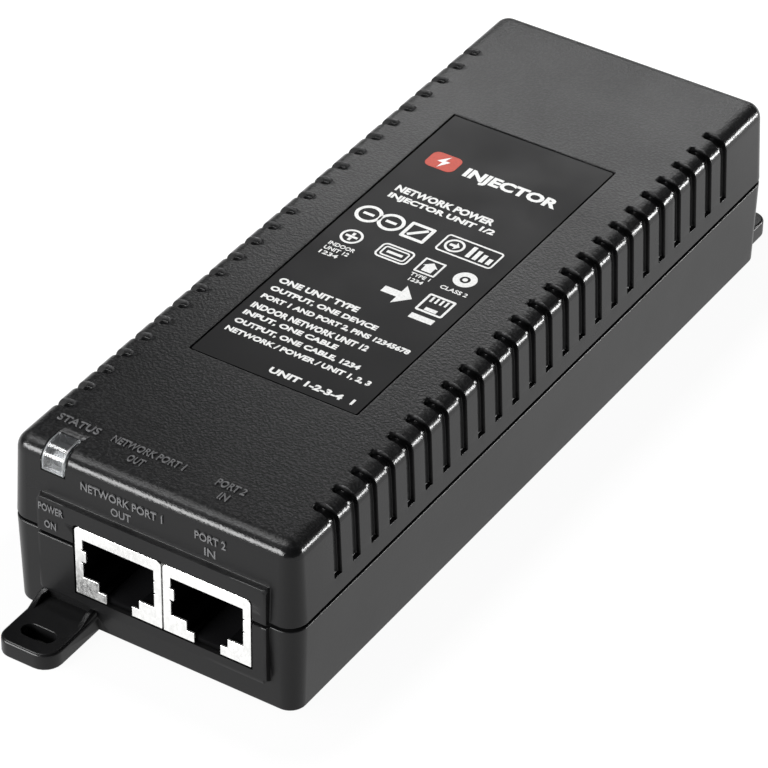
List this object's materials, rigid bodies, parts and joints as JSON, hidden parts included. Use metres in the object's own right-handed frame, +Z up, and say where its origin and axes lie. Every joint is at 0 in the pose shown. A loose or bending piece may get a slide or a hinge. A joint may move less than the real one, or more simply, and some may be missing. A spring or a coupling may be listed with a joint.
{
  "type": "power over ethernet injector",
  "caption": "Black desktop power injector for network cable: a ribbed two-part case with shielded jacks in front, a mains inlet behind and slotted mounting ears.",
  "frame": {"origin": "middle of the case's flat underside", "axes": "+Z up; +Y along the case from the jack end to the mains inlet end; +X to the right when the jacks face the viewer"},
  "size_m": [0.053, 0.1633, 0.0317],
  "materials": {
    "case_plastic": "satin black, fine sparkle texture on top, smooth sides",
    "label_film": "matt black film with white print",
    "clear_plastic": "clear polished acrylic",
    "tinned_steel": "bright tinned sheet",
    "jack_plastic": "moulded black",
    "gold_plate": "gold flashed",
    "screw_steel": "zinc plated",
    "board_laminate": "green solder mask",
    "led_lens": "tinted epoxy",
    "nickel_pin": "nickel plated",
    "component_black": "moulded black",
    "capacitor_yellow": "moulded yellow",
    "capacitor_blue": "dipped epoxy",
    "capacitor_sleeve": "shrink sleeve",
    "ferrite": "dull sintered grey",
    "copper_wire": "enamelled copper",
    "winding_tape": "polyester tape",
    "aluminium": "extruded"
  },
  "bodies": {
    "root": {"bridge_rectifier": "component_black", "bulk_capacitor": "capacitor_sleeve", "data_transformer_in": "component_black", "data_transformer_out": "component_black", "fuse": "component_black", "housing_screw_1": "screw_steel", "housing_screw_2": "screw_steel", "housing_screw_3": "screw_steel", "housing_screw_4": "screw_steel", "inlet_body": "component_black", "inlet_earth_pin": "nickel_pin", "inlet_line_pin": "nickel_pin", "inlet_neutral_pin": "nickel_pin", "jack_body_in": "jack_plastic", "jack_body_out": "jack_plastic", "jack_contacts_in": "gold_plate", "jack_contacts_out": "gold_plate", "jack_shield_in": "tinned_steel", "jack_shield_out": "tinned_steel", "led_light_pipe": "clear_plastic", "line_filter_coil": "copper_wire", "line_filter_core": "ferrite", "lower_housing": "case_plastic", "main_board": "board_laminate", "optocoupler": "component_black", "output_capacitor_1": "capacitor_sleeve", "output_capacitor_2": "capacitor_sleeve", "output_diode": "component_black", "output_inductor": "copper_wire", "power_controller_chip": "component_black", "primary_heatsink": "aluminium", "rating_label": "label_film", "secondary_heatsink": "aluminium", "status_led": "led_lens", "switching_transistor": "component_black", "transformer_coil": "winding_tape", "transformer_core": "ferrite", "upper_housing": "case_plastic", "varistor": "capacitor_blue", "x_capacitor": "capacitor_yellow", "y_capacitor": "capacitor_blue"}
  },
  "joints": []
}
